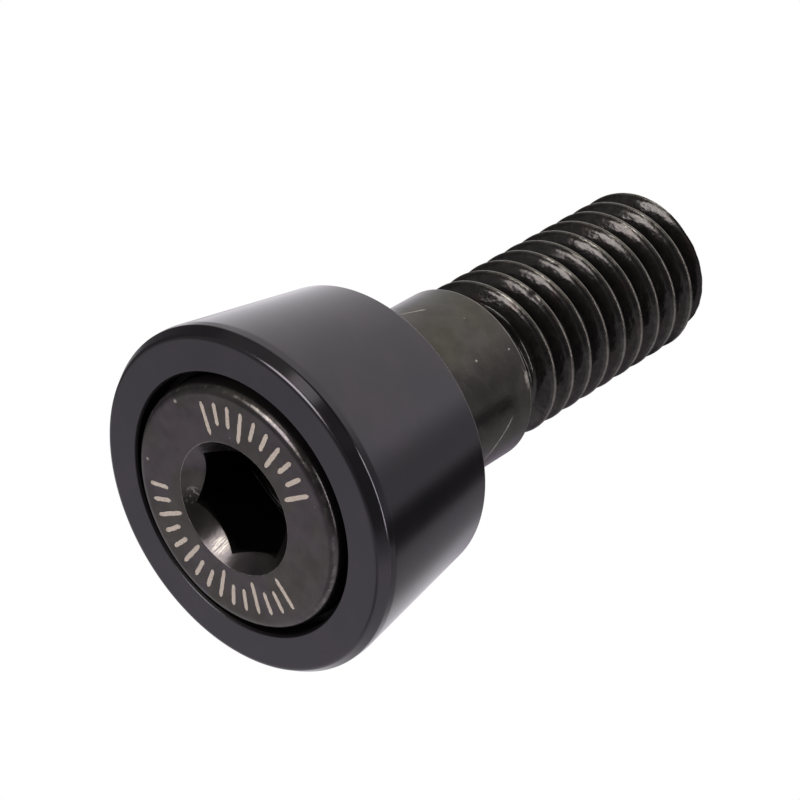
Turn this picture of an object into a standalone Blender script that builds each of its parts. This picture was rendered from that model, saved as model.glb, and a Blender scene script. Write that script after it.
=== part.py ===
"""Cam follower: a tapered roller on needle bearings, carried by a threaded stud with a hex socket head.

The stud's axis is Y. The head faces -Y and the thread ends at +Y. The origin is on the axis, in the plane of
the seat face: the side plate's back face, which is drawn up against the bracket that holds the follower.
Lengths below are in millimetres, measured backwards from the roller's front face ("depth"), and
metres() turns them into Blender's units.
"""

import math

import bmesh
import bpy

# Roller (outer ring)
ROLLER_FRONT_RADIUS = 9.525
ROLLER_BACK_RADIUS = 8.23
ROLLER_WIDTH = 9.68
FRONT_CHAMFER_RADIAL = 0.36
FRONT_CHAMFER_AXIAL = 0.60
BACK_CHAMFER = 0.15
COUNTERBORE_RADIUS = 7.20
COUNTERBORE_CHAMFER = 0.12

# Stud
HEAD_RADIUS = 6.76
HEAD_PROUD = 0.38
HEAD_BACK_DEPTH = 2.30
HEAD_CHAMFER_RADIAL = 0.45
HEAD_CHAMFER_AXIAL = 0.36
JOURNAL_RADIUS = 5.20
SHANK_RADIUS = 4.97
SHANK_END_DEPTH = 17.60
SHANK_CHAMFER = 0.25
STUD_LENGTH = 34.93

# Thread, 3/8-16 UNC, right hand
PITCH = 25.4 / 16
THREAD_RADIUS = 4.66
THREAD_HEIGHT = 0.6134 * PITCH
RELIEF_RADIUS = 3.95
RELIEF_LENGTH = 0.35
RUN_OUT_TURNS = 1.2
THREAD_END_RADIUS = 3.66
THREAD_END_CHAMFER = 0.56
# Turns of pitch at which the crest begins, the crest ends, the root begins and the root ends.
THREAD_BREAKS = ((0.0, 1.0), (1 / 8, 1.0), (7 / 16, 0.0), (11 / 16, 0.0))

# Hex socket, for a 7/32 in key
SOCKET_ACROSS_FLATS = 5.556
SOCKET_DEPTH = 4.60
SOCKET_DRILL_DEPTH = 5.80
SOCKET_MOUTH_RADIUS = 3.67
SOCKET_CORNER_ANGLE = 18.5

# Needle bearing
NEEDLE_COUNT = 16
NEEDLE_RADIUS = 0.60
NEEDLE_LENGTH = 4.20
NEEDLE_CHAMFER = 0.10
RUNNING_CLEARANCE = 0.02
CAGE_WALL = 0.64
CAGE_LENGTH = 5.20
POCKET_CLEARANCE = 0.04

# Side plate, and the seals with their thrust flanges
PLATE_THICKNESS = 1.93
PLATE_PROUD = 0.25
PLATE_CHAMFER = 0.30
THRUST_GAP = 0.65
SEAL_LIP_DEPTH = 1.20
FIT_GAP = 0.02
SEAL_RUNNING_GAP = 0.05

SEGMENTS = 64
STUD_SEGMENTS = 44
NEEDLE_SEGMENTS = 16
MOUTH_SEGMENTS = 48
CUTTER_REACH = 1.0
CUTTER_TIP_RADIUS = 0.5

SEAT_DEPTH = ROLLER_WIDTH + PLATE_PROUD
HEAD_DEPTH = -HEAD_PROUD
STUD_END_DEPTH = HEAD_DEPTH + STUD_LENGTH
PITCH_RADIUS = JOURNAL_RADIUS + NEEDLE_RADIUS + RUNNING_CLEARANCE
RACEWAY_RADIUS = PITCH_RADIUS + NEEDLE_RADIUS + RUNNING_CLEARANCE
PLATE_FRONT_DEPTH = SEAT_DEPTH - PLATE_THICKNESS
BEARING_MIDDLE = (HEAD_BACK_DEPTH + PLATE_FRONT_DEPTH) / 2


def metres(value):
    return value / 1000


def clear_scene():
    for obj in list(bpy.data.objects):
        bpy.data.objects.remove(obj, do_unlink=True)


def material(name, color, roughness, metallic):
    made = bpy.data.materials.new(name)
    made.use_nodes = True
    shader = made.node_tree.nodes["Principled BSDF"]
    shader.inputs["Base Color"].default_value = (*color, 1)
    shader.inputs["Roughness"].default_value = roughness
    shader.inputs["Metallic"].default_value = metallic
    made.diffuse_color = (*color, 1)
    return made


def new_object(name, bm, surface):
    """Turns the bmesh into an object with outward faces and smooth round surfaces."""
    bmesh.ops.recalc_face_normals(bm, faces=bm.faces)
    mesh = bpy.data.meshes.new(name)
    bm.to_mesh(mesh)
    bm.free()
    mesh.shade_smooth()
    mesh.set_sharp_from_angle(angle=math.radians(30))
    mesh.materials.append(surface)
    obj = bpy.data.objects.new(name, mesh)
    bpy.context.scene.collection.objects.link(obj)
    return obj


def helper(obj):
    obj.hide_render = True
    obj.display_type = "WIRE"
    return obj


def cut(obj, cutter):
    modifier = obj.modifiers.new(cutter.name, "BOOLEAN")
    modifier.operation = "DIFFERENCE"
    modifier.solver = "EXACT"
    modifier.object = cutter


def at_depth(depth):
    """The Y of a plane this far behind the roller's front face."""
    return metres(depth - SEAT_DEPTH)


def around(radius, angle, depth):
    """A point on the stud's axis frame: angle 0 is +Z, and it turns right-handed about +Y."""
    r = metres(radius)
    return (r * math.sin(angle), at_depth(depth), r * math.cos(angle))


def bore(radius, segments=SEGMENTS):
    """The radius of a bore's corners whose flats then lie at the stated radius."""
    return radius / math.cos(math.pi / segments)


def turned(name, outline, surface, segments=SEGMENTS, closed=True):
    """Spins an outline of (radius, depth) points about the axis. An open one starts and ends on the axis."""
    bm = bmesh.new()
    verts = [bm.verts.new(around(radius, 0, depth)) for radius, depth in outline]
    edges = [bm.edges.new(pair) for pair in zip(verts, verts[1:])]
    if closed:
        edges.append(bm.edges.new((verts[-1], verts[0])))
    bmesh.ops.spin(
        bm, geom=verts + edges, cent=(0, 0, 0), axis=(0, 1, 0), angle=math.tau, steps=segments, use_merge=True
    )
    bmesh.ops.remove_doubles(bm, verts=bm.verts, dist=1e-7)
    return new_object(name, bm, surface)


def make_outer_ring(surface):
    front_shoulder = HEAD_BACK_DEPTH + THRUST_GAP
    back_shoulder = PLATE_FRONT_DEPTH - THRUST_GAP
    counterbore = bore(COUNTERBORE_RADIUS)
    raceway = bore(RACEWAY_RADIUS)
    outline = [
        (counterbore + COUNTERBORE_CHAMFER, 0),
        (ROLLER_FRONT_RADIUS - FRONT_CHAMFER_RADIAL, 0),
        (ROLLER_FRONT_RADIUS, FRONT_CHAMFER_AXIAL),
        (ROLLER_BACK_RADIUS, ROLLER_WIDTH - BACK_CHAMFER),
        (ROLLER_BACK_RADIUS - BACK_CHAMFER, ROLLER_WIDTH),
        (counterbore, ROLLER_WIDTH),
        (counterbore, back_shoulder),
        (raceway, back_shoulder),
        (raceway, front_shoulder),
        (counterbore, front_shoulder),
        (counterbore, COUNTERBORE_CHAMFER),
    ]
    return turned("outer_ring", outline, surface)


def make_side_plate(surface):
    hole = bore(SHANK_RADIUS + FIT_GAP)
    outline = [
        (hole, PLATE_FRONT_DEPTH),
        (HEAD_RADIUS, PLATE_FRONT_DEPTH),
        (HEAD_RADIUS, SEAT_DEPTH - PLATE_CHAMFER),
        (HEAD_RADIUS - PLATE_CHAMFER, SEAT_DEPTH),
        (hole, SEAT_DEPTH),
    ]
    return turned("side_plate", outline, surface)


def make_seal(name, shoulder, flange, mouth, surface):
    """A lip in the groove round the flange, and a thrust ring between the flange and the roller's shoulder."""
    outward = math.copysign(1, mouth - shoulder)
    outer = COUNTERBORE_RADIUS - FIT_GAP
    lip = bore(HEAD_RADIUS + SEAL_RUNNING_GAP)
    inner = bore(RACEWAY_RADIUS + SEAL_RUNNING_GAP)
    thrust_back = shoulder + outward * FIT_GAP
    thrust_front = flange - outward * SEAL_RUNNING_GAP
    lip_front = mouth - outward * SEAL_LIP_DEPTH
    outline = [
        (inner, thrust_back),
        (outer, thrust_back),
        (outer, lip_front),
        (lip, lip_front),
        (lip, thrust_front),
        (inner, thrust_front),
    ]
    return turned(name, outline, surface)


def make_needle(name, angle, surface):
    """A needle roller with its origin on its own axis, at its place round the journal."""
    half = NEEDLE_LENGTH / 2
    outline = [
        (0, -half),
        (NEEDLE_RADIUS - NEEDLE_CHAMFER, -half),
        (NEEDLE_RADIUS, -half + NEEDLE_CHAMFER),
        (NEEDLE_RADIUS, half - NEEDLE_CHAMFER),
        (NEEDLE_RADIUS - NEEDLE_CHAMFER, half),
        (0, half),
    ]
    outline = [(radius, depth + SEAT_DEPTH) for radius, depth in outline]
    obj = turned(name, outline, surface, NEEDLE_SEGMENTS, closed=False)
    obj.location = around(PITCH_RADIUS, angle, BEARING_MIDDLE)
    return obj


def make_cage(surface):
    """A thin sleeve with one pocket for each needle: per pocket, two columns of faces left open."""
    inner = PITCH_RADIUS - CAGE_WALL / 2
    outer = PITCH_RADIUS + CAGE_WALL / 2
    step = math.tau / NEEDLE_COUNT
    half_pocket = math.asin((NEEDLE_RADIUS + POCKET_CLEARANCE) / PITCH_RADIUS)
    half_bay = NEEDLE_LENGTH / 2 + POCKET_CLEARANCE
    half_cage = CAGE_LENGTH / 2
    depths = [BEARING_MIDDLE + offset for offset in (-half_cage, -half_bay, half_bay, half_cage)]
    angles = []
    for pocket in range(NEEDLE_COUNT):
        angles += [pocket * step + offset for offset in (-half_pocket, 0, half_pocket, step / 2)]
    bm = bmesh.new()
    grid = [
        [[bm.verts.new(around(radius, angle, depth)) for depth in depths] for angle in angles]
        for radius in (inner, outer)
    ]

    def is_open(column, row):
        return row == 1 and column % 4 in (0, 1)

    count = len(angles)
    for i in range(count):
        j = (i + 1) % count
        for row in range(3):
            if is_open(i, row):
                continue
            for skin in grid:
                bm.faces.new((skin[i][row], skin[j][row], skin[j][row + 1], skin[i][row + 1]))
        for row in range(4):
            if row in (0, 3) or is_open(i, 1):
                bm.faces.new((grid[0][i][row], grid[0][j][row], grid[1][j][row], grid[1][i][row]))
        if is_open(i, 1) != is_open(i - 1, 1):
            bm.faces.new((grid[0][i][1], grid[0][i][2], grid[1][i][2], grid[1][i][1]))
    return new_object("needle_cage", bm, surface)


def thread_rows(start, end):
    """For each row of the thread, its place along the helix in turns and its height as a share of the full thread."""
    turns = math.ceil((end - start) / PITCH)
    return [(turn + offset, share) for turn in range(-1, turns + 1) for offset, share in THREAD_BREAKS]


def thread_point(row, angle, start, end):
    """(radius, depth) of a row of the thread at this angle: faded at the run-out, and cut by the end's chamfer."""
    place, share = row
    depth = start + PITCH * (place + angle / math.tau)
    depth = min(max(depth, start), end)
    root = THREAD_RADIUS - THREAD_HEIGHT
    full = root + share * THREAD_HEIGHT
    grown = min(1, (depth - start) / (RUN_OUT_TURNS * PITCH))
    radius = RELIEF_RADIUS + (full - RELIEF_RADIUS) * grown
    chamfer_slope = (THREAD_RADIUS - THREAD_END_RADIUS) / THREAD_END_CHAMFER
    return min(radius, THREAD_END_RADIUS + (end - depth) * chamfer_slope), depth


def make_stud(surface):
    """Head, journal and shank are turned, and the thread's rows climb by one pitch in each turn."""
    start = SHANK_END_DEPTH + RELIEF_LENGTH
    plain = [
        (0, HEAD_DEPTH),
        (HEAD_RADIUS - HEAD_CHAMFER_RADIAL, HEAD_DEPTH),
        (HEAD_RADIUS, HEAD_DEPTH + HEAD_CHAMFER_AXIAL),
        (HEAD_RADIUS, HEAD_BACK_DEPTH),
        (JOURNAL_RADIUS, HEAD_BACK_DEPTH),
        (JOURNAL_RADIUS, PLATE_FRONT_DEPTH - FIT_GAP),
        (SHANK_RADIUS, PLATE_FRONT_DEPTH - FIT_GAP),
        (SHANK_RADIUS, SHANK_END_DEPTH - SHANK_CHAMFER),
        (SHANK_RADIUS - SHANK_CHAMFER, SHANK_END_DEPTH),
        (RELIEF_RADIUS, SHANK_END_DEPTH),
    ]
    rows = thread_rows(start, STUD_END_DEPTH)
    bm = bmesh.new()
    columns = []
    for step in range(STUD_SEGMENTS + 1):
        angle = math.tau * step / STUD_SEGMENTS
        threaded = [thread_point(row, angle, start, STUD_END_DEPTH) for row in rows]
        points = plain + threaded + [(0, STUD_END_DEPTH)]
        columns.append([bm.verts.new(around(radius, angle, depth)) for radius, depth in points])
    for left, right in zip(columns, columns[1:]):
        for k in range(len(left) - 1):
            bm.faces.new((left[k], right[k], right[k + 1], left[k + 1]))
    bmesh.ops.remove_doubles(bm, verts=bm.verts, dist=1e-7)
    stud = new_object("stud", bm, surface)
    cut(stud, make_socket_cutter(surface))
    cut(stud, make_mouth_cutter(surface))
    return stud


def make_socket_cutter(surface):
    """A hexagonal prism that reaches past the head face, with the drill's cone at its bottom."""
    corner = SOCKET_ACROSS_FLATS / math.sqrt(3)
    bm = bmesh.new()
    rings = []
    for depth in (HEAD_DEPTH - CUTTER_REACH, HEAD_DEPTH + SOCKET_DEPTH):
        angles = [math.radians(90 - SOCKET_CORNER_ANGLE - 60 * k) for k in range(6)]
        rings.append([bm.verts.new(around(corner, angle, depth)) for angle in angles])
    tip = bm.verts.new(around(0, 0, HEAD_DEPTH + SOCKET_DRILL_DEPTH))
    bm.faces.new(rings[0])
    for k in range(6):
        m = (k + 1) % 6
        bm.faces.new((rings[0][k], rings[0][m], rings[1][m], rings[1][k]))
        bm.faces.new((rings[1][k], rings[1][m], tip))
    return helper(new_object("socket_cutter", bm, surface))


def make_mouth_cutter(surface):
    """A 45 degree cone that breaks the socket's edge."""
    outline = [
        (0, HEAD_DEPTH - CUTTER_REACH),
        (SOCKET_MOUTH_RADIUS + CUTTER_REACH, HEAD_DEPTH - CUTTER_REACH),
        (CUTTER_TIP_RADIUS, HEAD_DEPTH + SOCKET_MOUTH_RADIUS - CUTTER_TIP_RADIUS),
        (0, HEAD_DEPTH + SOCKET_MOUTH_RADIUS - CUTTER_TIP_RADIUS),
    ]
    return helper(turned("mouth_cutter", outline, surface, MOUTH_SEGMENTS, closed=False))


def main():
    clear_scene()
    oxide = material("black_oxide_roller", (0.035, 0.033, 0.038), 0.28, 0.9)
    stud_oxide = material("black_oxide_stud", (0.055, 0.052, 0.048), 0.40, 0.9)
    bright = material("bearing_steel", (0.55, 0.55, 0.56), 0.22, 1.0)
    pressed = material("cage_steel", (0.38, 0.37, 0.35), 0.38, 1.0)
    rubber = material("seal_rubber", (0.012, 0.012, 0.013), 0.65, 0.0)
    make_stud(stud_oxide)
    make_outer_ring(oxide)
    make_side_plate(stud_oxide)
    make_seal("front_seal", HEAD_BACK_DEPTH + THRUST_GAP, HEAD_BACK_DEPTH, 0, rubber)
    make_seal("back_seal", PLATE_FRONT_DEPTH - THRUST_GAP, PLATE_FRONT_DEPTH, ROLLER_WIDTH, rubber)
    make_cage(pressed)
    for index in range(NEEDLE_COUNT):
        make_needle(f"needle_{index + 1:02d}", math.tau * index / NEEDLE_COUNT, bright)


main()
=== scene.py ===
"""The looks of the cam follower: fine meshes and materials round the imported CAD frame.

The stud's axis is Y and the origin lies in the seat plane. Lengths are in millimetres until a mesh is made,
and angles round the axis start at +Z and turn towards +X.
"""

import math
import random
from functools import reduce

import bmesh
import bpy
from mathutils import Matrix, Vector


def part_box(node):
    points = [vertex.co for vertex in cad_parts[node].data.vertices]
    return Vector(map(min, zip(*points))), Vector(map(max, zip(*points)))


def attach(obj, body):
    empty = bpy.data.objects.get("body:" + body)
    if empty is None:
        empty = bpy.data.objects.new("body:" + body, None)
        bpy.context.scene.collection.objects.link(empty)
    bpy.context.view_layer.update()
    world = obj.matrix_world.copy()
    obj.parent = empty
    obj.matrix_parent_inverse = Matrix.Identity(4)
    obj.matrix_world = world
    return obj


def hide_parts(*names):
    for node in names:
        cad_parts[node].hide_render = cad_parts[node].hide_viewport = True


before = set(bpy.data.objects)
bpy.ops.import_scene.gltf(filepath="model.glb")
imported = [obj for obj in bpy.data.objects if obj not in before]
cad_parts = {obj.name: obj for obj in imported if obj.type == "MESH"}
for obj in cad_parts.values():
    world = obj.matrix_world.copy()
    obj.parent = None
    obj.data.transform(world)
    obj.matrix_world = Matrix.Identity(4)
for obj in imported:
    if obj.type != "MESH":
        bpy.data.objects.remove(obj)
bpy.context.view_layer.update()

MM = 0.001
MICROMETRE = 1e-6


def span(node):
    """(front y, back y, radius) of a turned CAD node, in millimetres."""
    low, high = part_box(node)
    return low.y / MM, high.y / MM, high.z / MM


# Sizes that the CAD frame gives
RING_FRONT, RING_BACK, RING_RADIUS = span("outer_ring")
STUD_FRONT, STUD_BACK, HEAD_RADIUS = span("stud")
PLATE_FRONT, PLATE_BACK, PLATE_RADIUS = span("side_plate")
FRONT_LIP, FRONT_SEAT, SEAL_RADIUS = span("front_seal")
BACK_SEAT, BACK_LIP, _ = span("back_seal")
CAGE_FRONT, CAGE_BACK, CAGE_OUTER = span("needle_cage")
NEEDLES = sorted(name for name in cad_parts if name.startswith("needle_") and name != "needle_cage")

# Roller
RING_BACK_RADIUS = 8.23
FRONT_CHAMFER_RADIAL = 0.36
FRONT_CHAMFER_AXIAL = 0.60
FRONT_LAND = 0.45
BACK_CHAMFER = 0.15
COUNTERBORE = 7.20
COUNTERBORE_CHAMFER = 0.12
COUNTERBORE_BEVEL = 0.14
RACEWAY = 6.44

# Stud
HEAD_ROUND = 0.52
HEAD_BACK = RING_FRONT + 2.30
JOURNAL = 5.20
SHANK = 4.97
SHANK_END = RING_FRONT + 17.60
SHANK_ROUND = 0.14
SOCKET_FLAT = 5.556 / 2
SOCKET_DEPTH = 4.60
SOCKET_MOUTH = 3.67
SOCKET_CORNER = math.radians(71.5)
DRILL_RADIUS = 2.72
DRILL_EDGE = 0.12
DRILL_DEPTH = 5.80

# Thread, 3/8-16 UNC. The widths are shares of the pitch.
PITCH = 25.4 / 16
THREAD = 4.66
THREAD_HEIGHT = 0.6134 * PITCH
CREST_WIDTH = 1 / 8
FLANK_WIDTH = 5 / 16
ROOT_WIDTH = 1 / 4
KNEE_DROP = 0.20
CREST_WEAR = 0.035
THREAD_START = SHANK_END + 0.35
LEAD_TURNS = 3
RELIEF = 3.95
RUN_OUT = 0.8 * PITCH
END_RADIUS = 3.66
END_CHAMFER = 0.56

# Bearing
PLATE_CHAMFER = 0.30
FIT_GAP = 0.02
SEAL_GAP = 0.06
SEAL_FLANGE = 0.56
SEAL_GROOVE_DEPTH = 0.09
SEAL_GROOVE_HALF_WIDTH = 0.05
NEEDLE_RADIUS = 0.60
NEEDLE_DOME = 0.60
CAGE_WALL = 0.64
CAGE_EDGE = 0.05
POCKET_HALF_WIDTH = 0.64
POCKET_HALF_LENGTH = 2.14

# Ticks that stand in for the etched marks: (first angle, number), one every TICK_STEP degrees
TICK_ARCS = ((-20, 10), (137, 15))
TICK_STEP = 9
TICK_LONG_EVERY = 3
TICK_INNER = 4.05
TICK_OUTER = 5.85
TICK_SHORTER = 0.55
TICK_WIDTH = 0.25
TICK_RAGGED = (0.88, 1.08)
TICK_PROUD = 0.008
TICK_SIDE_STEPS = 14
TICK_SEED = 7

# Meshes
COLUMNS = 240
STUD_COLUMNS = 204
NEEDLE_COLUMNS = 40
POCKET_STEPS = 6
BAR_STEPS = 4
ARC_STEPS = 6
THREAD_ARC_STEPS = 3
SUPPORT = 0.05
FILLET_SHARE = 0.45
SHARP_ANGLE = math.radians(35)
MERGE_DISTANCE = 2e-8


def around(radius, angle, y):
    """The point in metres at this radius and angle round the stud's axis."""
    return Vector((radius * math.sin(angle), y, radius * math.cos(angle))) * MM


# ---------------------------------------------------------------- meshes


def rounded(corners, closed=True, steps=ARC_STEPS):
    """The (radius, y, wear) points of an outline whose corners are (radius, y, fillet, wear).

    Each fillet is an arc with a point just outside either end, which keeps the faces beside it flat. The wear
    is greatest in the middle of the arc. The ends of an open outline are plain points.
    """
    count = len(corners)
    points = []
    for index, (radius, y, fillet, wear) in enumerate(corners):
        corner = Vector((radius, y))
        if not closed and index in (0, count - 1):
            points.append((radius, y, wear))
            continue
        before = Vector(corners[index - 1][:2]) - corner
        after = Vector(corners[(index + 1) % count][:2]) - corner
        room = FILLET_SHARE * min(before.length, after.length)
        before.normalize()
        after.normalize()
        half = before.angle(after) / 2
        reach = min(fillet / math.tan(half), room)
        middle = corner + (before + after).normalized() * reach / math.cos(half)
        start = corner + before * reach - middle
        end = corner + after * reach - middle
        support = min(SUPPORT, room - reach)
        points.append((*(corner + before * (reach + support)), 0.0))
        for step in range(steps + 1):
            share = step / steps
            point = middle + start.slerp(end, share) * start.length
            points.append((*point, wear * math.sin(math.pi * share)))
        points.append((*(corner + after * (reach + support)), 0.0))
    return points


def add_object(name, data):
    obj = bpy.data.objects.new(name, data)
    bpy.context.scene.collection.objects.link(obj)
    return obj


def finish_mesh(name, bm, surface):
    """Turns the bmesh into an object with outward faces, smooth but for its real edges."""
    bmesh.ops.recalc_face_normals(bm, faces=bm.faces)
    mesh = bpy.data.meshes.new(name)
    bm.to_mesh(mesh)
    bm.free()
    mesh.shade_smooth()
    mesh.set_sharp_from_angle(angle=SHARP_ANGLE)
    mesh.materials.append(surface)
    return add_object(name, mesh)


def turned(name, outline, surface, columns=COLUMNS, first=0.0, closed=True):
    """A piece turned about the Y axis. outline(angle) gives a column's (radius, y, wear) points.

    The last column lies on the first, a pitch further on where the outline is a helix, and is merged with it.
    """
    bm = bmesh.new()
    worn = bm.verts.layers.float.new("wear")
    grid = []
    for column in range(columns + 1):
        angle = first + math.tau * column / columns
        made = []
        for radius, y, wear in outline(angle):
            vert = bm.verts.new(around(radius, angle, y))
            vert[worn] = wear
            made.append(vert)
        grid.append(made)
    rows = len(grid[0])
    for left, right in zip(grid, grid[1:]):
        for row in range(rows if closed else rows - 1):
            following = (row + 1) % rows
            bm.faces.new((left[row], right[row], right[following], left[following]))
    bmesh.ops.remove_doubles(bm, verts=bm.verts, dist=MERGE_DISTANCE)
    return finish_mesh(name, bm, surface)


def ring(name, corners, surface):
    """A turned piece whose outline is the same all round."""
    points = rounded(corners)
    return turned(name, lambda angle: points, surface)


def make_roller(surface):
    front_shoulder = FRONT_SEAT + FIT_GAP
    back_shoulder = BACK_SEAT - FIT_GAP
    land = RING_FRONT + FRONT_CHAMFER_AXIAL
    return ring(
        "roller_steel",
        [
            (COUNTERBORE + COUNTERBORE_CHAMFER, RING_FRONT, 0.03, 0.35),
            (RING_RADIUS - FRONT_CHAMFER_RADIAL, RING_FRONT, 0.30, 0.50),
            (RING_RADIUS, land, 0.25, 0.55),
            (RING_RADIUS, land + FRONT_LAND, 1.2, 0.0),
            (RING_BACK_RADIUS, RING_BACK - BACK_CHAMFER, 0.10, 1.0),
            (RING_BACK_RADIUS - BACK_CHAMFER, RING_BACK, 0.04, 0.40),
            (COUNTERBORE + COUNTERBORE_CHAMFER, RING_BACK, 0.03, 0.35),
            (COUNTERBORE, RING_BACK - COUNTERBORE_BEVEL, 0.03, 0.0),
            (COUNTERBORE, back_shoulder, 0.05, 0.0),
            (RACEWAY, back_shoulder, 0.05, 0.0),
            (RACEWAY, front_shoulder, 0.05, 0.0),
            (COUNTERBORE, front_shoulder, 0.05, 0.0),
            (COUNTERBORE, RING_FRONT + COUNTERBORE_BEVEL, 0.03, 0.0),
        ],
        surface,
    )


def make_side_plate(surface):
    hole = SHANK + FIT_GAP
    return ring(
        "side_plate_steel",
        [
            (hole, PLATE_FRONT, 0.04, 0.0),
            (PLATE_RADIUS, PLATE_FRONT, 0.08, 0.3),
            (PLATE_RADIUS, PLATE_BACK - PLATE_CHAMFER, 0.08, 0.5),
            (PLATE_RADIUS - PLATE_CHAMFER, PLATE_BACK, 0.08, 0.6),
            (hole, PLATE_BACK, 0.06, 0.5),
        ],
        surface,
    )


def make_seal(name, seat, lip, grooved, surface):
    """A moulded ring: a thrust flange at the shoulder, and a lip whose face may have a shallow groove."""
    outward = math.copysign(1.0, lip - seat)
    root = PLATE_RADIUS + SEAL_GAP
    flange_inner = RACEWAY + SEAL_GAP
    flange = seat + outward * SEAL_FLANGE
    middle = (root + SEAL_RADIUS) / 2
    groove = [
        (middle + SEAL_GROOVE_HALF_WIDTH, lip, 0.03, 0.0),
        (middle, lip - outward * SEAL_GROOVE_DEPTH, 0.03, 0.0),
        (middle - SEAL_GROOVE_HALF_WIDTH, lip, 0.03, 0.0),
    ]
    return ring(
        name,
        [
            (flange_inner, seat, 0.04, 0.0),
            (SEAL_RADIUS, seat, 0.04, 0.0),
            (SEAL_RADIUS, lip, 0.07, 0.0),
            *(groove if grooved else []),
            (root, lip, 0.06, 0.0),
            (root, flange, 0.05, 0.0),
            (flange_inner, flange, 0.05, 0.0),
        ],
        surface,
    )


def make_needle(node, surface):
    """A needle roller with rounded, slightly domed ends, on the axis of its CAD node."""
    low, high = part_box(node)
    half = (high.y - low.y) / 2 / MM
    back_end = [
        (NEEDLE_RADIUS, half - 0.05, 0.16, 0.0),
        (NEEDLE_RADIUS * NEEDLE_DOME, half - 0.01, 0.3, 0.0),
        (0.0, half, 0.0, 0.0),
    ]
    front_end = [(radius, -y, fillet, wear) for radius, y, fillet, wear in reversed(back_end)]
    points = rounded(front_end + back_end, closed=False)
    piece = turned(node + "_steel", lambda angle: points, surface, NEEDLE_COLUMNS, closed=False)
    piece.location = (low + high) / 2
    return piece


def make_cage(surface):
    """A thin sleeve with a pocket for each needle. A pocket's columns have no faces in its middle row."""
    inner = CAGE_OUTER - CAGE_WALL
    middle = CAGE_OUTER - CAGE_WALL / 2
    step = math.tau / len(NEEDLES)
    pocket = math.asin(POCKET_HALF_WIDTH / middle)
    centre = (CAGE_FRONT + CAGE_BACK) / 2
    depths = (CAGE_FRONT, centre - POCKET_HALF_LENGTH, centre + POCKET_HALF_LENGTH, CAGE_BACK)
    shares = [k / POCKET_STEPS * 2 - 1 for k in range(POCKET_STEPS)]
    angles = []
    for index in range(len(NEEDLES)):
        angles += [index * step + share * pocket for share in shares]
        angles += [index * step + pocket + (step - 2 * pocket) * k / BAR_STEPS for k in range(BAR_STEPS)]
    bm = bmesh.new()
    skins = [
        [[bm.verts.new(around(radius, angle, y)) for y in depths] for angle in angles]
        for radius in (inner, CAGE_OUTER)
    ]
    count = len(angles)

    def is_open(column):
        return column % (POCKET_STEPS + BAR_STEPS) < POCKET_STEPS

    for i in range(count):
        j = (i + 1) % count
        for row in range(3):
            if row == 1 and is_open(i):
                continue
            for skin in skins:
                bm.faces.new((skin[i][row], skin[j][row], skin[j][row + 1], skin[i][row + 1]))
        for row in range(4):
            if row in (0, 3) or is_open(i):
                bm.faces.new((skins[0][i][row], skins[0][j][row], skins[1][j][row], skins[1][i][row]))
        if is_open(i) != is_open(i - 1):
            bm.faces.new((skins[0][i][1], skins[0][i][2], skins[1][i][2], skins[1][i][1]))
    cage = finish_mesh("cage_sleeve", bm, surface)
    bevel = cage.modifiers.new("rounded_edges", "BEVEL")
    bevel.width = CAGE_EDGE * MM
    bevel.segments = 2
    bevel.limit_method = "ANGLE"
    bevel.angle_limit = math.radians(40)
    return cage


def thread_turn():
    """One pitch of the thread: (place in turns, radius, wear), from the middle of one flank to the next.

    The front flank bends at a knee just below the crest.
    """
    root = THREAD - THREAD_HEIGHT
    middle = (THREAD + root) / 2
    knee = KNEE_DROP / THREAD_HEIGHT * FLANK_WIDTH
    root_start = CREST_WIDTH + FLANK_WIDTH
    corners = [
        (middle, -FLANK_WIDTH / 2, 0.0),
        (THREAD - KNEE_DROP, -knee, 0.5),
        (THREAD, KNEE_DROP / PITCH - knee, 0.05),
        (THREAD, CREST_WIDTH, 0.04),
        (root, root_start, 0.20),
        (root, root_start + ROOT_WIDTH, 0.20),
        (middle, 1 - FLANK_WIDTH / 2, 0.0),
    ]
    corners = [(radius, place * PITCH, fillet, 0.0) for radius, place, fillet in corners]
    points = rounded(corners, closed=False, steps=THREAD_ARC_STEPS)
    worn_above = THREAD - CREST_WEAR
    return [(y / PITCH, radius, 1.0 if radius > worn_above else 0.0) for radius, y, _ in points[:-1]]


THREAD_TURN = thread_turn()


def thread_points(angle):
    """A column of the thread: it climbs one pitch a turn, fades out at the shank and is chamfered at the end.

    Turns before the start and past the end are pressed flat against it, so that every column has the same
    number of points.
    """
    slope = (THREAD - END_RADIUS) / END_CHAMFER
    turns = math.ceil((STUD_BACK - THREAD_START) / PITCH) + 1
    points = []
    for turn in range(-LEAD_TURNS, turns):
        for place, radius, wear in THREAD_TURN:
            y = THREAD_START + PITCH * (turn + place + angle / math.tau)
            y = min(max(y, THREAD_START), STUD_BACK)
            grown = min(1.0, (y - THREAD_START) / RUN_OUT)
            cone = END_RADIUS + (STUD_BACK - y) * slope
            faded = RELIEF + (radius - RELIEF) * grown
            points.append((min(faded, cone), y, wear * max(0.0, 2 * grown - 1) if faded < cone else 0.0))
    return points


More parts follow.
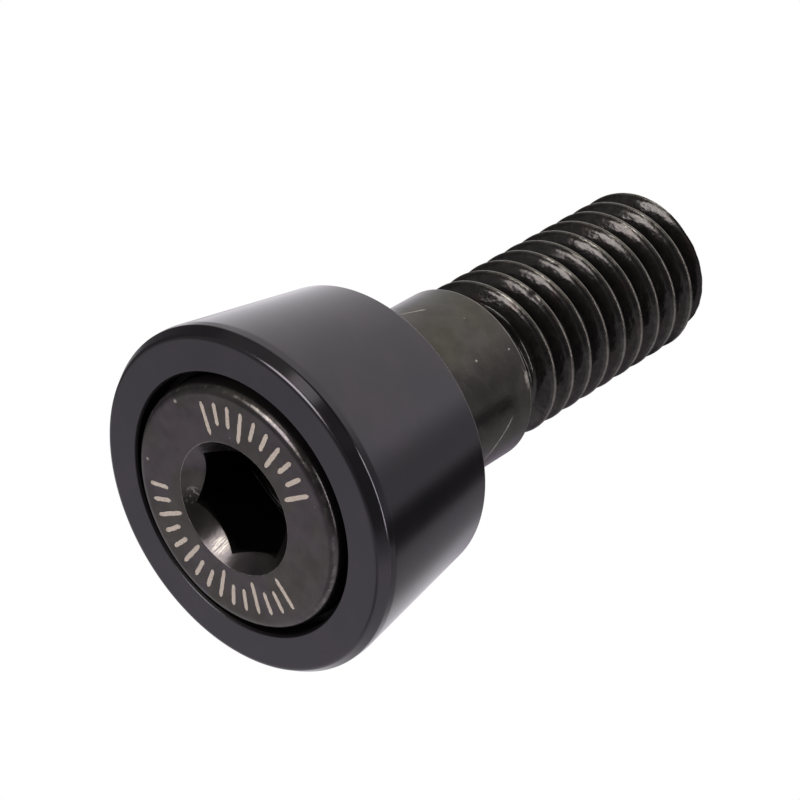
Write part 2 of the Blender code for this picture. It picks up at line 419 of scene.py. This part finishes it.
def stud_points(angle):
    """A column of the stud: up the socket's wall, over the head, along journal and shank, then the thread."""
    sixth = math.pi / 3
    wall = SOCKET_FLAT / math.cos((angle - SOCKET_CORNER) % sixth - sixth / 2)
    bottom = STUD_FRONT + SOCKET_DEPTH
    face = STUD_FRONT + TICK_PROUD
    corners = [
        (0.0, STUD_FRONT + DRILL_DEPTH, 0.0, 0.0),
        (DRILL_RADIUS, bottom + DRILL_EDGE, 0.05, 0.0),
        (DRILL_RADIUS, bottom, 0.02, 0.0),
        (wall, bottom, 0.03, 0.0),
        (wall, face + SOCKET_MOUTH - wall, 0.05, 0.35),
        (SOCKET_MOUTH, face, 0.07, 0.80),
        (HEAD_RADIUS, face, HEAD_ROUND, 0.52),
        (HEAD_RADIUS, HEAD_BACK, 0.08, 0.0),
        (JOURNAL, HEAD_BACK, 0.10, 0.0),
        (JOURNAL, PLATE_FRONT - FIT_GAP, 0.05, 0.0),
        (SHANK, PLATE_FRONT - FIT_GAP, 0.05, 0.0),
        (SHANK, SHANK_END, SHANK_ROUND, 1.0),
        (RELIEF, SHANK_END, 0.12, 0.0),
        (RELIEF, THREAD_START, 0.0, 0.0),
    ]
    end_face = [(radius, STUD_BACK, 0.0) for radius in (END_RADIUS - 0.1, END_RADIUS / 2, 0.0)]
    return rounded(corners, closed=False) + thread_points(angle) + end_face


def make_stud(surface):
    return turned("stud_steel", stud_points, surface, STUD_COLUMNS, first=SOCKET_CORNER, closed=False)


def tick_sides(angle, inner, draw):
    """The two long sides of a tick, as (radius, angle) points: slightly uneven, and narrower at the ends."""
    sides = []
    for side in (-1, 1):
        points = []
        for step in range(TICK_SIDE_STEPS + 1):
            share = step / TICK_SIDE_STEPS
            taper = math.sqrt(min(1.0, 9 * min(share, 1 - share) + 0.1))
            width = side * TICK_WIDTH / 2 * taper * draw.uniform(*TICK_RAGGED)
            radius = inner + (TICK_OUTER - inner) * share
            points.append((radius, angle + width / radius))
        sides.append(points)
    return sides


def make_ticks(surface):
    """Plain ticks, every third one long, just proud of the head's face."""
    draw = random.Random(TICK_SEED)
    bm = bmesh.new()
    for first, number in TICK_ARCS:
        for index in range(number):
            angle = math.radians(first + TICK_STEP * index)
            inner = TICK_INNER if index % TICK_LONG_EVERY == 0 else TICK_INNER + TICK_SHORTER
            sides = tick_sides(angle, inner, draw)
            under, over = (
                [[bm.verts.new(around(radius, turn, y)) for radius, turn in side] for side in sides]
                for y in (STUD_FRONT + 2 * TICK_PROUD, STUD_FRONT)
            )
            for one, other in ((under[0], over[0]), (under[1], over[1]), under, over):
                for k in range(TICK_SIDE_STEPS):
                    bm.faces.new((one[k], one[k + 1], other[k + 1], other[k]))
            for k in (0, TICK_SIDE_STEPS):
                bm.faces.new((under[0][k], under[1][k], over[1][k], over[0][k]))
    return finish_mesh("index_ticks", bm, surface)


# ---------------------------------------------------------------- materials


class Graph:
    """Short ways to add nodes to a node tree. Each value may be a number or a socket."""

    def __init__(self, tree):
        self.tree = tree

    def add(self, kind, inputs, output=0, **settings):
        """Adds a node, and returns one of its outputs."""
        node = self.tree.nodes.new(kind)
        for key, value in settings.items():
            setattr(node, key, value)
        for key, value in inputs.items():
            if isinstance(value, bpy.types.NodeSocket):
                self.tree.links.new(value, node.inputs[key])
            else:
                node.inputs[key].default_value = value
        return node.outputs[output]

    def feed(self, node, key, socket):
        """Links the socket to an input of a node that the tree already has."""
        self.tree.links.new(socket, self.tree.nodes[node].inputs[key])

    def split(self, vector):
        outputs = self.add("ShaderNodeSeparateXYZ", {"Vector": vector}).node.outputs
        return outputs["X"], outputs["Y"], outputs["Z"]

    def math(self, operation, a, b=0.0):
        return self.add("ShaderNodeMath", {0: a, 1: b}, operation=operation)

    def plus(self, *values):
        return reduce(lambda a, b: self.math("ADD", a, b), values)

    def minus(self, a, b):
        return self.math("SUBTRACT", a, b)

    def times(self, *values):
        return reduce(lambda a, b: self.math("MULTIPLY", a, b), values)

    def largest(self, *values):
        return reduce(lambda a, b: self.math("MAXIMUM", a, b), values)

    def ramp(self, value, low, high, to_low=0.0, to_high=1.0, kind="LINEAR"):
        """to_low to to_high as the value goes from low to high."""
        inputs = {"Value": value, "From Min": low, "From Max": high, "To Min": to_low, "To Max": to_high}
        return self.add("ShaderNodeMapRange", inputs, interpolation_type=kind)

    def smooth(self, value, low, high, to_low=0.0, to_high=1.0):
        """A ramp with soft ends."""
        return self.ramp(value, low, high, to_low, to_high, "SMOOTHSTEP")

    def blend(self, factor, low, high):
        """A number between two numbers, as the factor goes from 0 to 1."""
        return self.ramp(factor, 0.0, 1.0, low, high)

    def mix(self, factor, low, high):
        """A colour between two colours, each given as (red, green, blue) or as a socket."""
        inputs = {"Factor": factor}
        for index, color in ((6, low), (7, high)):
            inputs[index] = color if isinstance(color, bpy.types.NodeSocket) else (*color, 1)
        return self.add("ShaderNodeMix", inputs, 2, data_type="RGBA")


class Surface(Graph):
    """A material with a Principled shader. Sizes and places are in millimetres."""

    def __init__(self, name, **constants):
        self.material = bpy.data.materials.new(name)
        self.material.use_nodes = True
        super().__init__(self.material.node_tree)
        shader = self.tree.nodes["Principled BSDF"]
        for key, value in constants.items():
            shader.inputs[key.replace("_", " ")].default_value = value
        self.position = self.add("ShaderNodeTexCoord", {}, "Object")
        x, self.y, z = self.split(self.position)
        self.radius = self.math("SQRT", self.plus(self.times(x, x), self.times(z, z)))
        self.polar = self.add("ShaderNodeCombineXYZ", {"X": self.radius, "Y": self.y})
        turn = self.times(self.math("ARCTAN2", x, z), MM)
        self.wrapped = self.add("ShaderNodeCombineXYZ", {"X": self.radius, "Y": self.y, "Z": turn})
        self.wear = self.add("ShaderNodeAttribute", {}, "Fac", attribute_name="wear")

    def along(self, low, high, to_low=0.0, to_high=1.0):
        """A soft step along the stud's axis."""
        return self.smooth(self.y, low * MM, high * MM, to_low, to_high)

    def outward(self, low, high, to_low=0.0, to_high=1.0):
        """A soft step away from the stud's axis."""
        return self.smooth(self.radius, low * MM, high * MM, to_low, to_high)

    def stretch(self, vector, factors):
        return self.add("ShaderNodeVectorMath", {0: vector, 1: factors}, operation="MULTIPLY")

    def noise(self, vector, size, detail=2.0, roughness=0.5):
        """Cloudy noise, 0 to 1, with features of about this size."""
        inputs = {"Vector": vector, "Scale": 1 / (size * MM), "Detail": detail, "Roughness": roughness}
        return self.add("ShaderNodeTexNoise", inputs)

    def uneven_wear(self, size, amount):
        """The mesh's wear, raised and lowered by noise with features of about this size."""
        drift = self.minus(self.noise(self.position, size, 4.0, 0.7), 0.5)
        return self.plus(self.wear, self.times(drift, amount))

    def specks(self, size, radius, share):
        """Round specks of about this radius: one in each of a share of cells of this size."""
        inputs = {"Vector": self.position, "Scale": 1 / (size * MM)}
        cells = self.add("ShaderNodeTexVoronoi", inputs).node.outputs
        chosen = self.math("GREATER_THAN", self.split(cells["Color"])[0], 1 - share)
        near = self.smooth(cells["Distance"], radius / size * 0.6, radius / size, 1.0, 0.0)
        return self.times(chosen, near)

    def offset(self, centre):
        """The vector from this point, and its length."""
        vector = self.add("ShaderNodeVectorMath", {0: self.position, 1: centre}, operation="SUBTRACT")
        return vector, self.add("ShaderNodeVectorMath", {0: vector}, "Value", operation="LENGTH")

    def scratch(self, radius, start, end, width):
        """A thin, ragged scratch on a round surface, between two points given as (angle in degrees, y)."""
        first, last = (around(radius, math.radians(angle), y) for angle, y in (start, end))
        centre = around(radius, math.radians((start[0] + end[0]) / 2), (start[1] + end[1]) / 2)
        across = (last - first).cross(Vector((centre.x, 0, centre.z))).normalized()
        vector, away = self.offset(centre)
        sideways = self.add("ShaderNodeVectorMath", {0: vector, 1: across}, "Value", operation="DOT_PRODUCT")
        ragged = self.plus(
            self.math("ABSOLUTE", sideways), self.times(self.noise(self.position, 0.25), width * MM * 0.8)
        )
        line = self.smooth(ragged, width * MM * 0.5, width * MM, 1.0, 0.0)
        half = (last - first).length / 2
        return self.times(line, self.smooth(away, half * 0.6, half, 1.0, 0.0))

    def spot(self, angle, radius, y, size):
        """1 near a point of the surface, and 0 at more than this size from it."""
        away = self.offset(around(radius, math.radians(angle), y))[1]
        return self.smooth(away, size * MM * 0.35, size * MM, 1.0, 0.0)

    def relief(self, *layers):
        """The normal with layers of relief, each (height, depth in micrometres), the broadest first."""
        normal = {}
        for height, depth in layers:
            inputs = {"Height": height, "Distance": depth * MICROMETRE, **normal}
            normal = {"Normal": self.add("ShaderNodeBump", inputs)}
        return normal["Normal"]

    def finish(self, color, roughness, normal, metallic=None):
        links = (("Base Color", color), ("Roughness", roughness), ("Normal", normal), ("Metallic", metallic))
        for key, socket in links:
            if socket is not None:
                self.feed("Principled BSDF", key, socket)
        return self.material


# Marks on the stud. A scratch is (start, end, width), with its ends as (angle in degrees, y). The other marks
# are (angle in degrees, radius, y, size).
SCRATCHES = (
    ((-13, RING_FRONT + 13.75), (-2.5, RING_FRONT + 15.05), 0.14),
    ((89, RING_FRONT + 16.05), (116, RING_FRONT + 13.95), 0.13),
    ((52, RING_FRONT + 12.2), (64, RING_FRONT + 12.6), 0.03),
)
PALE_SPECKS = (
    (46, SHANK, RING_FRONT + 14.5, 0.10),
    (50, SHANK, RING_FRONT + 16.95, 0.08),
    (-38, 6.14, STUD_FRONT, 0.14),
    (-84, 6.0, STUD_FRONT, 0.12),
)
BURNISHED_PATCH = (206, 3.25, STUD_FRONT + 0.4, 0.62)
CHIPPED_PATCH = (-101, 3.28, STUD_FRONT + 0.42, 0.60)
CHAFED_PATCH = (71, SHANK, SHANK_END - 0.15, 0.8)
SCUFFED_PATCH = (80, SHANK, SHANK_END - 0.5, 1.5)
# A small dent in the thread, drawn only as a dark, rougher spot: its shade is painted.
THREAD_NOTCH_SHADE = (25, THREAD, RING_FRONT + 21.15, 0.42)

# The soft edges of the painted shade inside the socket
SOCKET_SHADE_FRONT = (STUD_FRONT + 0.7, STUD_FRONT + 1.1)
SOCKET_SHADE_BACK = (HEAD_BACK + 4, HEAD_BACK + 5)
SOCKET_SHADE_SIDE = (3.3, 3.5)

WORN_STEEL = (0.42, 0.39, 0.35)
# Painted shade inside the socket.
SOCKET_SHADE = (0.004, 0.004, 0.004)
# A dark spot painted as the shade of a dent in the thread.
NOTCH_SHADE = (0.004, 0.003, 0.003)
# Painted shade in the roller's counterbore and on its chamfer.
GROOVE_SHADE = (0.010, 0.009, 0.009)
BLOTCH_BROWN = (0.034, 0.031, 0.028)
RUST_RED = (0.060, 0.030, 0.026)


def black_oxide_roller():
    """Ground steel, blackened and oiled: a faint purple cast, fine lines round the axis, rubbed edges, and
    painted shade in the counterbore.
    """
    s = Surface("black_oxide_roller")
    cloud = s.noise(s.position, 2.6, 4.0, 0.6)
    lines = s.noise(s.stretch(s.polar, (1, 0.6, 1)), 0.05)
    grain = s.noise(s.position, 0.06, 3.0)
    in_counterbore = s.outward(COUNTERBORE + 0.07, COUNTERBORE + COUNTERBORE_CHAMFER, 1.0, 0.0)
    oxide = s.mix(s.smooth(cloud, 0.3, 0.7), (0.049, 0.047, 0.054), (0.056, 0.050, 0.057))
    # The counterbore and its chamfer get a dark painted shade colour in place of the oxide.
    base = s.mix(in_counterbore, oxide, GROOVE_SHADE)
    worn = s.smooth(s.uneven_wear(0.5, 1.3), 0.60, 0.95)
    nicks = s.specks(1.7, 0.05, 0.10)
    bare = s.largest(s.times(worn, s.blend(cloud, 0.1, 0.5)), s.times(nicks, 0.4))
    rough = s.plus(
        s.blend(cloud, 0.11, 0.17), s.times(lines, 0.04), s.times(bare, 0.25), s.times(in_counterbore, 0.40)
    )
    normal = s.relief((cloud, 3.0), (grain, 0.5), (lines, 0.4))
    return s.finish(s.mix(bare, base, WORN_STEEL), rough, normal, s.blend(bare, 0.88, 1.0))


def stud_oxide_and_shade(s, cloud, fine, blotch, on_shank, on_thread):
    """The oxide's colour: purple on the head, olive on the shank, rusty on the thread, and painted shade in
    the socket.
    """
    tone = s.smooth(cloud, 0.33, 0.67)
    purple = s.mix(tone, (0.080, 0.068, 0.077), (0.078, 0.073, 0.065))
    olive = s.mix(tone, (0.074, 0.068, 0.066), (0.076, 0.073, 0.060))
    ground = s.mix(on_shank, purple, olive)
    ground = s.mix(s.smooth(blotch, 0.32, 0.68, 0.0, 0.42), ground, BLOTCH_BROWN)
    rolled = s.mix(s.smooth(fine, 0.35, 0.75), (0.037, 0.034, 0.033), (0.058, 0.054, 0.051))
    # Painted shade: the inside of the socket and its drill are darkened almost to black.
    shade_in_socket = s.times(
        s.along(*SOCKET_SHADE_FRONT),
        s.along(*SOCKET_SHADE_BACK, 1.0, 0.0),
        s.outward(*SOCKET_SHADE_SIDE, 1.0, 0.0),
    )
    base = s.mix(s.times(shade_in_socket, 0.85), s.mix(on_thread, ground, rolled), SOCKET_SHADE)
    rust = s.times(s.smooth(s.noise(s.position, 1.4, 3.0), 0.55, 0.72), on_thread)
    return s.mix(s.times(rust, 0.25), base, RUST_RED)


def stud_bare_steel(s, fine, on_thread):
    """Where the stud's steel shows: worn edges and crests, scratches, specks and rubbed patches."""
    worn = s.times(s.smooth(s.uneven_wear(0.4, 0.9), 0.42, 0.95), s.blend(on_thread, 1.0, 0.40))
    scratches = [s.scratch(SHANK, *mark) for mark in SCRATCHES]
    specks = s.largest(s.specks(1.5, 0.075, 0.16), s.times(s.specks(0.8, 0.04, 0.12), 0.6))
    specks = s.times(specks, s.blend(on_thread, 1.0, 0.15))
    pips = [s.spot(*mark) for mark in PALE_SPECKS]
    grooves = s.smooth(s.noise(s.stretch(s.wrapped, (0.12, 0.12, 3.2)), 0.10, 3.0, 0.6), 0.42, 0.62)
    burnished = s.times(s.spot(*BURNISHED_PATCH), s.times(grooves, 0.60))
    chips = s.times(s.spot(*CHIPPED_PATCH), s.smooth(s.noise(s.position, 0.25, 3.0), 0.54, 0.60, 0.0, 0.8))
    rubbed_rim = s.times(
        s.along(SHANK_END - 0.17, SHANK_END - 0.09),
        s.outward(THREAD + 0.06, THREAD + 0.12),
        s.smooth(fine, 0.30, 0.70, 0.15, 0.60),
    )
    chafed = s.times(
        s.spot(*CHAFED_PATCH),
        s.smooth(fine, 0.38, 0.58, 0.0, 0.8),
        s.along(SHANK_END - 0.42, SHANK_END - 0.24),
    )
    edges = s.times(worn, s.blend(fine, 0.35, 1.0))
    return s.largest(edges, *scratches, specks, *pips, burnished, chafed, chips, rubbed_rim)


def black_oxide_stud():
    """Black oxide, worn and scratched: satin on head and shank, glossy and rippled on the rolled thread."""
    s = Surface("black_oxide_stud", Specular_Tint=(0.75, 0.75, 0.75, 1))
    cloud = s.noise(s.position, 3.0, 4.0, 0.62)
    blotch = s.noise(s.position, 1.1, 5.0, 0.65)
    fine = s.noise(s.position, 0.35, 4.0, 0.65)
    lines = s.noise(s.polar, 0.07, 3.0)
    grain = s.noise(s.position, 0.05, 3.0)
    on_shank = s.along(PLATE_FRONT, PLATE_BACK)
    on_thread = s.along(SHANK_END - 0.1, SHANK_END + 0.1)
    scuffed = s.times(s.spot(*SCUFFED_PATCH), s.blend(fine, 0.6, 1.0))
    # Painted shade of a small dent in the thread: a dark spot that is rougher and shows no bare steel.
    notch_shade = s.times(s.spot(*THREAD_NOTCH_SHADE), s.smooth(fine, 0.36, 0.50))
    bare = s.times(stud_bare_steel(s, fine, on_thread), s.minus(1.0, notch_shade))
    # The oxide's colour, with painted shade inside the socket.
    oxide = stud_oxide_and_shade(s, cloud, fine, blotch, on_shank, on_thread)
    color = s.mix(notch_shade, s.mix(bare, oxide, WORN_STEEL), NOTCH_SHADE)
    satin = s.plus(s.blend(cloud, 0.15, 0.22), s.times(fine, 0.05))
    glossy = s.blend(fine, 0.11, 0.21)
    rough = s.plus(
        satin,
        s.times(on_thread, s.minus(glossy, satin)),
        s.times(bare, 0.28),
        s.times(s.plus(scuffed, notch_shade), 0.25),
    )
    wander = s.times(s.noise(s.position, 2.4, 1.0), on_shank)
    ripple = s.times(s.noise(s.stretch(s.position, (1, 2.2, 1)), 0.65), on_thread)
    normal = s.relief(
        (wander, 45.0), (cloud, 20.0), (blotch, 7.0), (ripple, 30.0), (fine, 5.0), (grain, 1.2), (lines, 0.6)
    )
    unworn = s.blend(on_thread, 0.88, 0.82)
    metallic = s.plus(unworn, s.times(bare, s.minus(1.0, unworn)))
    return s.finish(color, rough, normal, metallic)


def etched_marks():
    """Steel laid bare by etching: pale, warm and matt, with a mottled grain."""
    s = Surface("etched_marks")
    grain = s.noise(s.position, 0.10, 4.0, 0.7)
    patches = s.noise(s.position, 0.5, 3.0)
    base = s.mix(s.smooth(grain, 0.25, 0.75), (0.36, 0.305, 0.26), (0.58, 0.505, 0.44))
    color = s.mix(s.smooth(patches, 0.55, 0.8, 0.0, 0.45), base, (0.28, 0.23, 0.19))
    return s.finish(color, s.blend(grain, 0.5, 0.75), s.relief((grain, 5.0)))


def seal_rubber():
    """Black moulded polymer, matt, with a fine moulding grain and a little grease sheen."""
    s = Surface("seal_rubber", Specular_IOR_Level=0.10)
    grain = s.noise(s.position, 0.08, 4.0, 0.6)
    grease = s.smooth(s.noise(s.position, 1.2, 3.0), 0.45, 0.7)
    color = s.mix(grain, (0.004, 0.004, 0.005), (0.009, 0.008, 0.008))
    return s.finish(color, s.blend(grease, 0.62, 0.40), s.relief((grain, 6.0)))


def ground_steel():
    """Needle rollers: ground bright steel with lines round each roller and a film of oil."""
    s = Surface("ground_steel", Metallic=1.0)
    film = s.noise(s.position, 0.9, 3.0)
    lines = s.noise(s.stretch(s.position, (0.15, 1, 0.15)), 0.04)
    color = s.mix(film, (0.50, 0.49, 0.48), (0.60, 0.60, 0.61))
    rough = s.plus(s.blend(film, 0.12, 0.2), s.times(lines, 0.08))
    return s.finish(color, rough, s.relief((lines, 0.4)))


def pressed_steel():
    """Cage: pressed strip steel, duller, with a drawn grain along the axis."""
    s = Surface("pressed_steel", Metallic=1.0)
    grain = s.noise(s.stretch(s.position, (1, 0.1, 1)), 0.08, 3.0)
    tone = s.noise(s.position, 1.5, 3.0)
    color = s.mix(tone, (0.33, 0.31, 0.29), (0.43, 0.42, 0.40))
    return s.finish(color, s.blend(grain, 0.3, 0.46), s.relief((grain, 1.5)))


# ---------------------------------------------------------------- the pieces on their bodies


def place(piece, body, slot, *nodes):
    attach(piece, body)
    if nodes:
        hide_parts(*nodes)


def make_pieces():
    roller_black = black_oxide_roller()
    stud_black = black_oxide_stud()
    rubber = seal_rubber()
    bright = ground_steel()
    place(make_roller(roller_black), "roller", "black_oxide_roller", "outer_ring")
    front_seal = make_seal("front_seal_ring", FRONT_SEAT, FRONT_LIP, False, rubber)
    place(front_seal, "roller", "seal_rubber", "front_seal")
    back_seal = make_seal("back_seal_ring", BACK_SEAT, BACK_LIP, True, rubber)
    place(back_seal, "roller", "seal_rubber", "back_seal")
    place(make_stud(stud_black), "stud_body", "black_oxide_stud", "stud")
    place(make_side_plate(stud_black), "stud_body", "black_oxide_stud", "side_plate")
    place(make_ticks(etched_marks()), "stud_body", "bearing_steel")
    place(make_cage(pressed_steel()), "cage", "cage_steel", "needle_cage")
    for node in NEEDLES:
        place(make_needle(node, bright), node, "bearing_steel", node)


# ---------------------------------------------------------------- studio


# Soft patches of the studio as the object's surfaces reflect it, each painted over those before it:
# azimuth from +Y towards +X, elevation, inner and outer radius, all in degrees, and brightness.
STUDIO_BASE = 0.30
STUDIO_PATCHES = (
    ("floor", 0, -90, 52, 76, 0.86),
    ("camera_side_floor", 162, -42, 12, 26, 0.46),
    ("back_wall", -12, 14, 44, 58, 1.17),
    ("left_flag", -88, 8, 28, 42, 0.13),
    ("left_low_flag", -61, -28, 8, 18, 0.30),
    ("right_fade", 28, -30, 14, 34, 0.46),
    ("right_dim", 34, -6, 5, 22, 0.50),
    ("right_flag", 31, -21, 4, 12, 0.02),
    ("right_flag_far", 46, -16, 4, 9, 0.02),
    ("dark_side", 112, 12, 18, 30, 0.05),
    ("dark_side_top", 85, 58, 20, 35, 0.06),
    ("camera_side_gap", 172, 3, 13, 20, 0.12),
    ("camera", 140, 30, 8, 20, 0.05),
    ("camera_stand", 136, 2, 12, 22, 0.07),
    ("softbox", 186, 34, 14, 20, 8.0),
    ("softbox_top", 155, 68, 7, 12, 1.8),
    ("window_low", 85, -4, 6, 10, 8.0),
    ("window_middle", 86, 12, 6, 10, 8.0),
    ("window_top", 87, 27, 6, 10, 8.0),
)
STUDIO_LOW_TINT = (1.0, 0.965, 1.02)
STUDIO_HIGH_TINT = (1.02, 1.0, 0.93)

# The backdrop, in metres
FLOOR_HEIGHT = -0.25
FLOOR_SIZE = 1.6
DOME_RADIUS = 0.9

# The card under the stud, in millimetres. The fades and the darkening are shares of its width and length.
SHADE_HEIGHT = -12.5
SHADE_FRONT = 4.0
SHADE_BACK = 40.0
SHADE_WIDTH = 17.0
SHADE_SIDE_FADE = 0.35
SHADE_FRONT_FADE = 0.17
SHADE_DARKENING = (0.33, 0.55)
SHADE_TINT = (1.0, 0.88, 1.06)
SHADE_BRIGHTNESS = 0.45
SHADE_THREAD_BRIGHTNESS = 0.04


def direction(azimuth, elevation):
    turn = math.radians(azimuth)
    rise = math.radians(elevation)
    return Vector((math.sin(turn) * math.cos(rise), math.cos(turn) * math.cos(rise), math.sin(rise)))


def make_studio_light():
    """The world: a dim room with a white floor and back wall, dark flags, softboxes and small windows."""
    world = bpy.data.worlds.new("studio")
    bpy.context.scene.world = world
    world.use_nodes = True
    g = Graph(world.node_tree)
    towards = g.add("ShaderNodeTexCoord", {}, "Generated")
    level = STUDIO_BASE
    for label, azimuth, elevation, inner, outer, brightness in STUDIO_PATCHES:
        vectors = {0: towards, 1: direction(azimuth, elevation)}
        facing = g.add("ShaderNodeVectorMath", vectors, "Value", operation="DOT_PRODUCT", label=label)
        mask = g.smooth(facing, math.cos(math.radians(outer)), math.cos(math.radians(inner)))
        level = g.add("ShaderNodeMix", {"Factor": mask, "A": level, "B": brightness}, "Result")
    g.feed("Background", "Strength", level)
    g.feed("Background", "Color", g.mix(g.split(towards)[2], STUDIO_LOW_TINT, STUDIO_HIGH_TINT))


def glowing_material(name):
    """A material with no shader yet, and its graph."""
    material = bpy.data.materials.new(name)
    material.use_nodes = True
    tree = material.node_tree
    tree.nodes.remove(tree.nodes["Principled BSDF"])
    return material, Graph(tree)


def add_to_stage(name, mesh, material, unseen_by):
    """An object of the studio, which rays of the kinds in unseen_by pass through."""
    mesh.materials.append(material)
    obj = add_object(name, mesh)
    for kind in unseen_by:
        setattr(obj, "visible_" + kind, False)
    return obj


def white_backdrop(name, bm):
    """A plain white surface that only the camera sees, so that the studio's light stays as it is."""
    material, g = glowing_material(name)
    g.feed("Material Output", "Surface", g.add("ShaderNodeEmission", {}))
    mesh = bpy.data.meshes.new(name)
    bm.to_mesh(mesh)
    bm.free()
    return add_to_stage(name, mesh, material, ("glossy", "diffuse", "transmission", "shadow"))


def make_backdrop():
    floor = bmesh.new()
    bmesh.ops.create_grid(floor, x_segments=1, y_segments=1, size=FLOOR_SIZE / 2)
    white_backdrop("studio_floor", floor).location.z = FLOOR_HEIGHT
    dome = bmesh.new()
    bmesh.ops.create_uvsphere(dome, u_segments=48, v_segments=24, radius=DOME_RADIUS)
    white_backdrop("studio_dome", dome)


def make_shade():
    """The shade that the stud throws on a table under it, as the stud's underside reflects it."""
    name = "shade_under_stud"
    material, g = glowing_material(name)
    across, along, _ = g.split(g.add("ShaderNodeTexCoord", {}, "Generated"))
    brightness = g.ramp(along, *SHADE_DARKENING, SHADE_BRIGHTNESS, SHADE_THREAD_BRIGHTNESS)
    cover = g.times(
        g.smooth(across, 0.0, SHADE_SIDE_FADE),
        g.smooth(across, 1.0, 1 - SHADE_SIDE_FADE),
        g.smooth(along, 0.0, SHADE_FRONT_FADE),
    )
    clear = g.add("ShaderNodeBsdfTransparent", {})
    glow = g.add("ShaderNodeEmission", {"Color": (*SHADE_TINT, 1), "Strength": brightness})
    g.feed("Material Output", "Surface", g.add("ShaderNodeMixShader", {0: cover, 1: clear, 2: glow}))
    half = SHADE_WIDTH / 2
    corners = ((-half, SHADE_FRONT), (half, SHADE_FRONT), (half, SHADE_BACK), (-half, SHADE_BACK))
    mesh = bpy.data.meshes.new(name)
    mesh.from_pydata([(x * MM, y * MM, SHADE_HEIGHT * MM) for x, y in corners], [], [(0, 1, 2, 3)])
    add_to_stage(name, mesh, material, ("camera", "diffuse", "transmission", "shadow"))


# ---------------------------------------------------------------- camera


CAMERA_AZIMUTH = math.radians(40.24)
CAMERA_ELEVATION = math.radians(30.04)
CAMERA_DISTANCE = 140.37
CAMERA_RIGHT = 8.108
CAMERA_UP = 5.325
CAMERA_LENS = 126.0


def make_camera():
    """Looks at the roller's front face from its right and above, with the thread's end farthest away."""
    level = math.cos(CAMERA_ELEVATION)
    forward = Vector(
        (-math.sin(CAMERA_AZIMUTH) * level, math.cos(CAMERA_AZIMUTH) * level, -math.sin(CAMERA_ELEVATION))
    )
    right = Vector((math.cos(CAMERA_AZIMUTH), math.sin(CAMERA_AZIMUTH), 0))
    up = right.cross(forward)
    data = bpy.data.cameras.new("camera")
    data.lens = CAMERA_LENS
    data.clip_start = MM
    data.clip_end = 100
    camera = add_object("camera", data)
    aim = Vector((0, RING_FRONT, 0))
    camera.location = (aim - forward * CAMERA_DISTANCE + right * CAMERA_RIGHT + up * CAMERA_UP) * MM
    camera.rotation_euler = forward.to_track_quat("-Z", "Y").to_euler()
    bpy.context.scene.camera = camera


make_camera()
make_studio_light()
make_backdrop()
make_shade()
make_pieces()
bpy.context.scene.view_settings.view_transform = "Standard"
